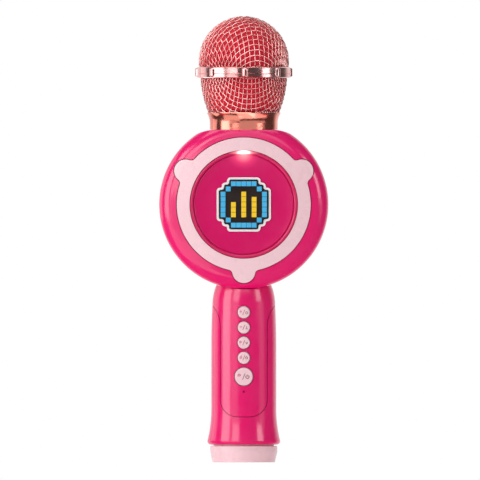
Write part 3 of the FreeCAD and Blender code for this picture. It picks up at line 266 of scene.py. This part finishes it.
FINISHES = {
    "magenta_shell": moulded("magenta_shell", (0.85, 0.002, 0.150), (0.83, 0.002, 0.144),
                             Specular_IOR_Level=1.0),
    "pale_pink": moulded("pale_pink", (0.905, 0.612, 0.655), (0.902, 0.605, 0.648), (0.27, 0.285)),
    "display_gloss": display_gloss(),
    "light_guide": light_guide(),
    "rose_plating": plating("rose_plating", (0.98, 0.31, 0.23), (0.94, 0.25, 0.19), (0.14, 0.22), 0.5, 150.0),
    "rose_wire": plating("rose_wire", (0.99, 0.63, 0.60), (0.82, 0.37, 0.36), (0.12, 0.18), 0.1, 240.0),
    "crimson_foam": foam(),
    "badge_white": moulded("badge_white", (0.90, 0.89, 0.90), (0.86, 0.85, 0.86)),
    "badge_black": moulded("badge_black", (0.018, 0.009, 0.008), (0.024, 0.012, 0.010), (0.3, 0.4)),
    "badge_blue": moulded("badge_blue", (0.08, 0.50, 0.83), (0.07, 0.46, 0.79)),
    "badge_yellow": moulded("badge_yellow", (0.96, 0.64, 0.035), (0.93, 0.59, 0.03)),
    "steel": simple("steel", (0.62, 0.62, 0.62), (0.5, 0.5, 0.51), (0.25, 0.4), 500.0, Metallic=1.0),
    "black_plastic": simple("black_plastic", (0.03, 0.03, 0.032), (0.02, 0.02, 0.021), (0.4, 0.55)),
    "white_plastic": simple("white_plastic", (0.8, 0.79, 0.76), (0.74, 0.73, 0.7), (0.35, 0.5)),
    "circuit_board": board(),
    "chip_black": simple("chip_black", (0.03, 0.03, 0.03), (0.018, 0.018, 0.018), (0.5, 0.7), 900.0, 0.3),
    "led_white": simple("led_white", (0.9, 0.78, 0.3), (0.85, 0.7, 0.22), (0.3, 0.4), 600.0),
    "clear_pipe": simple("clear_pipe", (0.10, 0.008, 0.02), (0.07, 0.005, 0.014), (0.08, 0.14), 600.0, 0.03),
    "battery_wrap": simple("battery_wrap", (0.03, 0.17, 0.42), (0.02, 0.14, 0.37), (0.25, 0.4), 120.0, 0.06),
    "magnet_iron": simple("magnet_iron", (0.12, 0.12, 0.125), (0.08, 0.08, 0.085), (0.45, 0.65), 400.0, 0.4,
                          Metallic=0.8),
    "copper_coil": wound_wire(),
    "cone_paper": paper(),
    "black_rubber": simple("black_rubber", (0.025, 0.024, 0.024), (0.015, 0.015, 0.015), (0.6, 0.8), 350.0,
                           0.3),
    "capsule_metal": simple("capsule_metal", (0.7, 0.68, 0.64), (0.6, 0.58, 0.55), (0.2, 0.32), 500.0,
                            Metallic=1.0),
    "lead_red": simple("lead_red", (0.5, 0.02, 0.02), (0.42, 0.015, 0.015), (0.35, 0.5), 300.0),
}
ICON_INK = simple("icon_ink", (0.70, 0.20, 0.30), (0.64, 0.17, 0.26), (0.35, 0.5), 700.0, 0.05)
ICON_GREY = simple("icon_grey", (0.50, 0.20, 0.27), (0.25, 0.14, 0.17), (0.35, 0.5), 700.0, 0.05)
# for the band: a paler copy of the collar's plating, its paleness a painted reflection of the paler
# surroundings it mirrors
BAND_PLATING_PAINTED_PALER = plating("band_plating_painted_paler", (0.97, 0.58, 0.56), (0.93, 0.48, 0.47), (0.15, 0.21), 0.5, 180.0)


def finish_with(obj, material):
    """Gives an object one material in place of its own."""
    obj.data.materials.clear()
    obj.data.materials.append(material)


for part in frame["record"]["subparts"]:
    finish_with(NODES[part["node"]], FINISHES[part["material_slot"]])
# the band's plating is painted paler than the collar's, as painted reflection
finish_with(NODES["grille_band"], BAND_PLATING_PAINTED_PALER)


# ---------------------------------------------------------------- mesh helpers

def mesh_piece(name, points, faces, material, body="housing", smooth=True):
    """A piece made of closed meshes, with every face turned outwards."""
    data = bpy.data.meshes.new(name)
    data.from_pydata([tuple(p) for p in points], [], [tuple(f) for f in faces])
    turned_out = bmesh.new()
    turned_out.from_mesh(data)
    bmesh.ops.recalc_face_normals(turned_out, faces=turned_out.faces)
    turned_out.to_mesh(data)
    turned_out.free()
    data.polygons.foreach_set("use_smooth", [smooth] * len(data.polygons))
    data.update()
    obj = bpy.data.objects.new(name, data)
    bpy.context.scene.collection.objects.link(obj)
    data.materials.append(material)
    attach(obj, body)
    return obj


def soften(node_name, width):
    """Rounds the sharp edges of a CAD node made of plain blocks."""
    obj = NODES[node_name]
    weld = obj.modifiers.new("weld", "WELD")
    weld.merge_threshold = 0.005 * MM
    bevel = obj.modifiers.new("edges", "BEVEL")
    bevel.width = width * MM
    bevel.segments = 2
    bevel.limit_method = "ANGLE"
    bevel.angle_limit = math.radians(35)
    bevel.harden_normals = True


for softened in ("badge_blue_tiles", "badge_yellow_bars"):
    soften(softened, 0.12)


# ---------------------------------------------------------------- woven head

# Radius of a wire, how far it sways to pass the others, and how deep its middle lies, in millimetres
WIRE = 0.27
LIFT = 0.26
SKIN = 0.54


class Profile:
    """The outline of a turned shape, measured along its own length from a stated start."""

    def __init__(self, points, start=0.0):
        self.points = np.array(points, float)
        steps = np.hypot(*np.diff(self.points, axis=0).T)
        self.run = start + np.concatenate([[0.0], np.cumsum(steps)])
        slopes = np.gradient(self.points, self.run, axis=0)
        slopes /= np.hypot(slopes[:, 0], slopes[:, 1])[:, None]
        self.slopes = slopes

    def at(self, run):
        radius = np.interp(run, self.run, self.points[:, 0])
        height = np.interp(run, self.run, self.points[:, 1])
        slope_r = np.interp(run, self.run, self.slopes[:, 0])
        slope_z = np.interp(run, self.run, self.slopes[:, 1])
        return radius, height, slope_r, slope_z


def draped(u, v, profile, bulge, shear, turn):
    """Where a point of a flat square weave lands once it is pressed over a turned shape.

    The weave keeps its cells square along its own two directions and closes them up like a lattice
    gate between them. Returns points and outward normals, in millimetres, and the run of each.
    """
    flat = np.hypot(u, v)
    angle = np.arctan2(v, u)
    # the diagonals are drawn out the furthest
    run = flat * (1 + shear * (flat / bulge) ** 2 / 9 * np.sin(2 * angle) ** 2)
    radius, height, slope_r, slope_z = profile.at(run)
    # the wires turn towards the diagonals, the more so the further the shape has drawn in
    squeeze = shear * np.clip(flat / np.maximum(radius, 0.001) - 1, 0, 1.1) / 4
    angle = angle + squeeze * np.sin(4 * angle) + turn
    c, s = np.cos(angle), np.sin(angle)
    points = np.stack([radius * c, radius * s, height], axis=1)
    # the outline's direction turned a quarter turn towards the outside
    normals = np.stack([slope_z * c, slope_z * s, -slope_r], axis=1)
    return points, normals, run


def wire_tube(points, normals, radius, sides):
    """Rings round a wire's centreline: vertices and faces, with both ends closed."""
    tangents = np.gradient(points, axis=0)
    tangents /= np.linalg.norm(tangents, axis=1)[:, None]
    across = np.cross(tangents, normals)
    across /= np.linalg.norm(across, axis=1)[:, None]
    up = np.cross(across, tangents)
    turns = np.arange(sides) * 2 * math.pi / sides
    rings = (points[:, None, :] + radius * (np.cos(turns)[None, :, None] * across[:, None, :]
                                            + np.sin(turns)[None, :, None] * up[:, None, :]))
    faces = []
    for ring in range(len(points) - 1):
        low = ring * sides
        for side in range(sides):
            after = (side + 1) % sides
            faces.append((low + side, low + after, low + sides + after, low + sides + side))
    last = (len(points) - 1) * sides
    faces.append(tuple(range(sides))[::-1])
    faces.append(tuple(last + side for side in range(sides)))
    return rings.reshape(-1, 3), faces


def woven(name, node, profile, pitch, reach, runs, bulge, shear, turn):
    """A plain weave of round wires over a turned shape, each one passing over and under the next.

    The pitch is the distance between wires each way, and reach is how far the flat weave extends from its
    middle. The wires stop where the shape's outline reaches either of the two runs.
    """
    points, faces = [], []
    samples, sides, shortest = 6, 6, 4
    for family in (0, 1):
        count = int(reach / pitch[family])
        other = pitch[1 - family]
        steps = np.arange(-reach, reach, other / samples)
        for index in range(-count, count + 1):
            fixed = np.full_like(steps, (index + 0.5) * pitch[family])
            lift = LIFT * np.cos(math.pi * (steps / other - 0.5)) * (-1) ** index
            lift = lift if family else -lift
            u, v = (fixed, steps) if family == 0 else (steps, fixed)
            spots, normals, run = draped(u, v, profile, bulge, shear, turn)
            spots = spots + normals * lift[:, None]
            inside = (run >= runs[0]) & (run <= runs[1])
            edges = np.flatnonzero(np.diff(np.concatenate([[0], inside.astype(int), [0]])))
            for first, last in zip(edges[::2], edges[1::2]):
                if last - first < shortest:
                    continue
                ring_points, ring_faces = wire_tube(spots[first:last], normals[first:last], WIRE, sides)
                base = sum(len(p) for p in points)
                points.append(ring_points)
                faces += [tuple(base + i for i in face) for face in ring_faces]
    made = mesh_piece(name, np.concatenate(points) * MM, faces, FINISHES["rose_wire"])
    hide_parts(node)


def upper_weave():
    """The domed half, woven from its crown down to the inside of the band."""
    radius = DOME_RADIUS - SKIN
    edge = 219.1
    profile = Profile([
        (radius * math.sin(t), DOME_Z + radius * math.cos(t)) for t in np.linspace(0, math.radians(106), 240)
    ])
    end = radius * math.acos((edge - DOME_Z) / radius)
    woven("upper_weave", "upper_grille", profile, pitch=(3.1, 3.1), reach=46.0, runs=(0.0, end),
          bulge=radius, shear=0.75, turn=math.radians(-72))


def lower_weave():
    """The bowl-shaped half, from inside the collar up a long arc and the straight rim in the band.

    Its outline is measured from a start inside the bowl's open floor, and no wire crosses that floor.
    """
    arc = 62.0 - SKIN
    centre_radius, centre_height = -37.44, 219.07
    rim_radius, rim_low, rim_high = 24.45 - SKIN, 215.5, 218.0
    start, margin_low, margin_high = 16.0, 0.35, 0.3
    outline = [
        (centre_radius + arc * math.cos(t), centre_height + arc * math.sin(t))
        for t in np.linspace(math.radians(-22.84), math.radians(-3.49), 120)
    ]
    outline += [(rim_radius, z) for z in np.linspace(rim_low, rim_high, 12)]
    profile = Profile(outline, start=start)
    woven("lower_weave", "lower_grille", profile, pitch=(2.9, 2.6), reach=44.0,
          runs=(start + margin_low, float(profile.run[-1]) - margin_high),
          bulge=60.0, shear=0.55, turn=math.radians(-82))


upper_weave()
lower_weave()


# ---------------------------------------------------------------- foam lining

# Radius of the foam's own dome, in millimetres
FOAM_DOME = 24.1


def foam_outline():
    """Half the outline of the foam, as (radius, height) from the middle of its floor to near its crown."""
    floor, arc, dome = 196.25, 61.0, FOAM_DOME
    points = [(0.0, floor), (9.0, floor), (17.6, floor), (18.35, 196.45)]
    # the bowl's long arc, which leaves the floor's rounded edge a little way up
    trim = 0.008
    low, high = Vector((18.6, 196.2)), Vector((23.0, 214.6))
    chord = high - low
    sagitta = math.sqrt(arc ** 2 - chord.length_squared / 4)
    centre = (low + high) / 2 + Vector((-chord.y, chord.x)).normalized() * sagitta
    first = math.atan2(low.y - centre.y, low.x - centre.x)
    last = math.atan2(high.y - centre.y, high.x - centre.x)
    points += [(centre.x + arc * math.cos(t), centre.y + arc * math.sin(t))
               for t in np.linspace(first + trim, last, 46)]
    # the waist inside the band, and the dome
    points += [(22.75, 215.6), (22.42, 216.6), (22.3, 217.6), (22.3, 218.6), (22.55, 219.3), (23.1, 219.8)]
    start = math.acos((220.3 - DOME_Z) / dome)
    points += [(dome * math.sin(t), DOME_Z + dome * math.cos(t)) for t in np.linspace(start, 0.0, 92)][:-1]
    return points


def foam_lining():
    """The foam inside the mesh: a turned, crowned form with a pocked skin, closed across its floor.

    Its skin is never outside the outer face of its solid. It has no bore, although its solid does.
    """
    outline = foam_outline()
    columns, shoulder, crown_depth = 190, 220, 0.12
    # how far the skin lies inside its solid: everywhere, in slow swells, and in its pits
    skin, swell, pit, pit_edge = 0.10, 0.16, 0.22, 0.45
    points, faces = [(0, 0, outline[0][1])], []
    for radius, height in outline[1:]:
        for index in range(columns):
            angle = 2 * math.pi * index / columns
            spot = Vector((radius * math.cos(angle), radius * math.sin(angle), height))
            pits = noise.voronoi(spot * 0.95)[0][0]
            depth = skin + swell * noise.noise(spot * 0.5) ** 2 + pit * max(0.0, pit_edge - pits)
            inward = Vector((spot.x, spot.y, (height - DOME_Z) if height > shoulder else 0)).normalized()
            points.append(spot - inward * depth)
    rows = len(outline) - 1
    for index in range(columns):
        after = (index + 1) % columns
        faces.append((0, 1 + after, 1 + index))
        for row in range(rows - 1):
            low_row, high_row = 1 + row * columns, 1 + (row + 1) * columns
            faces.append((low_row + index, low_row + after, high_row + after, high_row + index))
    points.append((0, 0, DOME_Z + FOAM_DOME - crown_depth))
    top, last_row = len(points) - 1, 1 + (rows - 1) * columns
    faces += [(last_row + index, last_row + (index + 1) % columns, top) for index in range(columns)]
    made = mesh_piece("foam_lining", [Vector(p) * MM for p in points], faces, FINISHES["crimson_foam"])
    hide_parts("foam_liner")


foam_lining()


# ---------------------------------------------------------------- control marks

def strip(route, half, closed=False):
    """A flat ribbon along a route: pairs of points on its two sides, and whether it joins up."""
    count, pairs = len(route), []
    for index, (x, z) in enumerate(route):
        before = route[index - 1] if index or closed else route[0]
        after = route[(index + 1) % count] if index < count - 1 or closed else route[-1]
        along = Vector((after[0] - before[0], after[1] - before[1])).normalized()
        pairs.append(((x - along.y * half, z + along.x * half), (x + along.y * half, z - along.x * half)))
    return pairs, closed


def line(x0, z0, x1, z1, half):
    """A straight stroke between two points."""
    parts = 4
    return strip([(x0 + (x1 - x0) * t / parts, z0 + (z1 - z0) * t / parts) for t in range(parts + 1)], half)


def circle(x, z, radius, half):
    """A ring-shaped stroke."""
    parts = 20
    turns = [2 * math.pi * t / parts for t in range(parts)]
    return strip([(x + radius * math.cos(t), z + radius * math.sin(t)) for t in turns], half, closed=True)


def printed(name, body, height, face_radius, ribbons, scale, material):
    """Ink marks that lie on a button's crowned face, a hair proud of it, in millimetres."""
    # the face's front, and how far it falls away by its edge
    face, crown = 18.9, 0.25
    # how far the ink stands proud of the face, and how deep it reaches
    ink, root = 0.035, 0.06
    points, faces = [], []

    def spot(x, z, lift):
        drop = crown * (x * x + z * z) / face_radius ** 2
        return Vector((x, -(face - drop + lift), height + z)) * MM

    for pairs, closed in ribbons:
        base = len(points)
        for side in pairs:
            for x, z in side:
                points.append(spot(x * scale, z * scale, ink))
            for x, z in side:
                points.append(spot(x * scale, z * scale, -root))
        count = len(pairs)
        for index in range(count if closed else count - 1):
            a, b = base + 4 * index, base + 4 * ((index + 1) % count)
            faces += [(a, b, b + 1, a + 1), (a, a + 2, b + 2, b), (a + 1, b + 1, b + 3, a + 3),
                      (a + 2, a + 3, b + 3, b + 2)]
        if not closed:
            last = base + 4 * (count - 1)
            faces += [(base, base + 1, base + 3, base + 2), (last, last + 2, last + 3, last + 1)]
    mesh_piece(name, points, faces, material, body, smooth=False)


SLASH = line(-0.42, -1.05, 0.42, 1.05, 0.13)


def button_marks():
    """A sign on the left of each small button, and a slash and a second sign on its right."""
    heights, face_radius, scale = (84.0, 75.5, 67.0, 58.5), 2.9, 1.35
    plus = [line(-1.75, 0.3, -0.75, 0.3, 0.17), line(-1.25, -0.2, -1.25, 0.8, 0.17)]
    minus = [line(-1.75, 0.25, -0.75, 0.25, 0.20)]
    triangle = [
        line(-1.7, -0.25, -1.7, 0.75, 0.17),
        line(-1.55, 0.7, -0.85, 0.25, 0.16),
        line(-1.55, -0.2, -0.85, 0.25, 0.16),
    ]
    note = [circle(-1.3, 0.1, 0.32, 0.18), line(-0.98, 0.1, -0.98, 1.0, 0.13)]
    ring = [circle(1.2, -0.2, 0.45, 0.14)]
    bar_and_stem = [line(0.75, -0.55, 1.65, -0.55, 0.16), line(1.2, -0.2, 1.2, 0.5, 0.16)]
    chevron = [line(0.8, 0.25, 1.2, -0.55, 0.14), line(1.6, 0.25, 1.2, -0.55, 0.14)]
    ring_and_stem = [circle(1.15, 0.0, 0.42, 0.14), line(1.15, 0.25, 1.15, 0.75, 0.13)]
    lefts = (plus, minus, triangle, note)
    rights = (ring, bar_and_stem, chevron, ring_and_stem)
    signs = zip(heights, lefts, rights)
    for number, (height, left, right) in enumerate(signs, start=1):
        name, body = f"button_{number}_mark", f"button_{number}_body"
        printed(name, body, height, face_radius, left, scale, ICON_INK)
        printed(f"{name}_right", body, height, face_radius, [SLASH, *right], scale, ICON_GREY)


def power_marks():
    """A triangle on the left of the large button, and a slash and a power sign on its right."""
    height, face_radius, scale = 48.0, 4.55, 1.65
    triangle = [
        line(-1.9, 0.05, -1.9, 0.95, 0.17),
        line(-1.75, 0.9, -0.95, 0.5, 0.17),
        line(-1.75, 0.1, -0.95, 0.5, 0.17),
    ]
    gap = 0.6
    turns = np.linspace(gap, 2 * math.pi - gap, 18)
    arc = strip([(1.25 + 0.55 * math.sin(t), -0.1 + 0.55 * math.cos(t)) for t in turns], 0.16)
    stem = line(1.25, 0.0, 1.25, 0.7, 0.14)
    body = "power_button_body"
    printed("power_mark", body, height, face_radius, triangle, scale, ICON_INK)
    printed("power_mark_right", body, height, face_radius, [SLASH, arc, stem], scale, ICON_GREY)


button_marks()
power_marks()


# ---------------------------------------------------------------- studio

def stage_floor():
    """A plain pale floor just under the foot."""
    data = bpy.data.meshes.new("studio_floor")
    half, rows, level = 8.0, 16, -0.0002
    across = rows + 1
    points = [(half * (2 * i / rows - 1), half * (2 * j / rows - 1), level)
              for j in range(across) for i in range(across)]
    faces = [(j * across + i, j * across + i + 1, (j + 1) * across + i + 1, (j + 1) * across + i)
             for j in range(rows) for i in range(rows)]
    data.from_pydata(points, [], faces)
    floor = bpy.data.objects.new("studio_floor", data)
    bpy.context.scene.collection.objects.link(floor)
    made = Shader("studio_floor", roughness=0.75, Emission_Color=(1, 1, 1), Emission_Strength=0.35)
    made.mottled((0.90, 0.90, 0.90), (0.885, 0.885, 0.885), 6.0)
    data.materials.append(made.material)
    floor.visible_glossy = False


def panel_light(name, place, target, width, height, radiance, lights, only=None):
    """A soft rectangle of light. Some only shape the highlights, and some only the shading.

    A light with a list of objects reaches nothing else.
    """
    data = bpy.data.lights.new(name, "AREA")
    data.shape, data.size, data.size_y = "RECTANGLE", width, height
    # in proportion to the area, so that the radiance is the same at any size
    data.energy = 4 * width * height * radiance
    lamp = bpy.data.objects.new(name, data)
    lamp.location = place
    lamp.rotation_mode = "QUATERNION"
    lamp.rotation_quaternion = (Vector(target) - Vector(place)).to_track_quat("-Z", "Y")
    lamp.visible_camera = False
    lamp.visible_diffuse = "diffuse" in lights
    lamp.visible_glossy = "glossy" in lights
    bpy.context.scene.collection.objects.link(lamp)
    if only:
        receivers = bpy.data.collections.new(f"{name}_receivers")
        for obj in only:
            receivers.objects.link(obj)
        lamp.light_linking.receiver_collection = receivers


def around(azimuth, distance, height):
    """A point at an azimuth from the front, positive towards +X."""
    turn = math.radians(azimuth)
    return distance * math.sin(turn), -distance * math.cos(turn), height


def softbox(name, azimuth, low, high, spread, radiance, lights):
    """An upright panel light beside the object, at an azimuth from the front and so many degrees wide."""
    distance, middle = 0.85, (low + high) / 2
    width = 2 * distance * math.tan(math.radians(spread / 2))
    panel_light(name, around(azimuth, distance, middle), (0, 0, middle), width, high - low, radiance, lights)


def panels():
    """The soft lights round the object."""
    # azimuth, lowest and highest edge, width in degrees, radiance, and what it lights
    softbox("key", -65, 0.0, 0.93, 31, 2.0, ["glossy"])
    softbox("key_fill", -56, 0.0, 0.93, 50, 1.38, ["diffuse"])
    softbox("upper_left", -28, 0.20, 0.7, 24, 1.7, ["glossy"])
    softbox("low_left", -34, 0.0, 0.19, 26, 0.45, ["glossy"])
    softbox("upper_right", 57, 0.20, 0.7, 20, 2.2, ["glossy"])
    softbox("low_right", 67, 0.0, 0.19, 20, 0.4, ["glossy"])
    softbox("rim_left", -118, 0.0, 0.7, 26, 0.7, ["glossy"])
    panel_light("front_top", (0, -0.75, 0.62), (0, 0, 0.15), 0.7, 0.28, 0.7, ["glossy"])
    panel_light("top", (-0.05, -0.15, 1.0), (0, 0, 0.2), 0.8, 0.6, 1.2, ["diffuse", "glossy"])
    panel_light("left_bounce", (-0.5, -0.55, -0.25), (0, 0, 0.12), 0.9, 0.5, 0.7, ["glossy"])
    # the pale table round the object, as the plated head mirrors it
    collar, band = NODES["grille_collar"], NODES["grille_band"]
    head = [collar, band, bpy.data.objects["upper_weave"], bpy.data.objects["lower_weave"]]
    for azimuth, radiance in ((-130, 1.1), (12, 1.0), (62, 1.0)):
        panel_light(f"table_glint_{azimuth}", around(azimuth, 0.5, -0.33), (0, 0, 0.2), 0.6, 0.5,
                    radiance, ["glossy"], head)
    panel_light("collar_front", around(20, 0.9, 0.2), (0, 0, 0.19), 1.3, 0.5, 0.42, ["glossy"], [collar])
    panel_light("head_top", (-0.1, -0.55, 0.85), (0, 0, 0.22), 0.9, 0.5, 2.0, ["glossy"], head)


def surroundings():
    """A white background for the camera, with light of its own for the shading and for reflections."""
    world = bpy.data.worlds.new("studio")
    bpy.context.scene.world = world
    world.use_nodes = True
    tree = world.node_tree
    tree.nodes.clear()
    place = tree.nodes.new("ShaderNodeTexCoord").outputs["Generated"]
    split = tree.nodes.new("ShaderNodeSeparateXYZ")
    tree.links.new(place, split.inputs[0])
    ramp = tree.nodes.new("ShaderNodeMapRange")
    ramp.interpolation_type = "SMOOTHSTEP"
    turn_start, turn_end, dim_front, bright_rear = 0.45, 0.85, 0.08, 0.9
    for socket, value in zip(ramp.inputs[1:5], (turn_start, turn_end, dim_front, bright_rear)):
        socket.default_value = value
    tree.links.new(split.outputs["Y"], ramp.inputs[0])
    seen = tree.nodes.new("ShaderNodeLightPath")
    # even light for the shading, and a bright rear to be mirrored at the outline
    even_light = 0.47
    strength = tree.nodes.new("ShaderNodeMix")
    strength.inputs["A"].default_value = even_light
    tree.links.new(seen.outputs["Is Glossy Ray"], strength.inputs["Factor"])
    tree.links.new(ramp.outputs["Result"], strength.inputs["B"])
    light = tree.nodes.new("ShaderNodeBackground")
    tree.links.new(strength.outputs["Result"], light.inputs["Strength"])
    white = tree.nodes.new("ShaderNodeBackground")
    mix = tree.nodes.new("ShaderNodeMixShader")
    tree.links.new(seen.outputs["Is Camera Ray"], mix.inputs[0])
    tree.links.new(light.outputs[0], mix.inputs[1])
    tree.links.new(white.outputs[0], mix.inputs[2])
    for shade in (light, white):
        shade.inputs["Color"].default_value = (1, 1, 1, 1)
    out = tree.nodes.new("ShaderNodeOutputWorld")
    tree.links.new(mix.outputs[0], out.inputs[0])


def camera():
    """A camera square to the front, without perspective, framed as in the photograph."""
    data = bpy.data.cameras.new("camera")
    data.type = "ORTHO"
    data.ortho_scale = 0.2688
    data.clip_start, data.clip_end = 0.01, 10
    obj = bpy.data.objects.new("camera", data)
    obj.location = (-0.0021, -1.2, 0.1245)
    obj.rotation_euler = (math.radians(90), 0, 0)
    bpy.context.scene.collection.objects.link(obj)
    bpy.context.scene.camera = obj


stage_floor()
panels()
surroundings()
camera()
bpy.context.scene.view_settings.view_transform = "Standard"
bpy.context.scene.view_settings.look = "None"
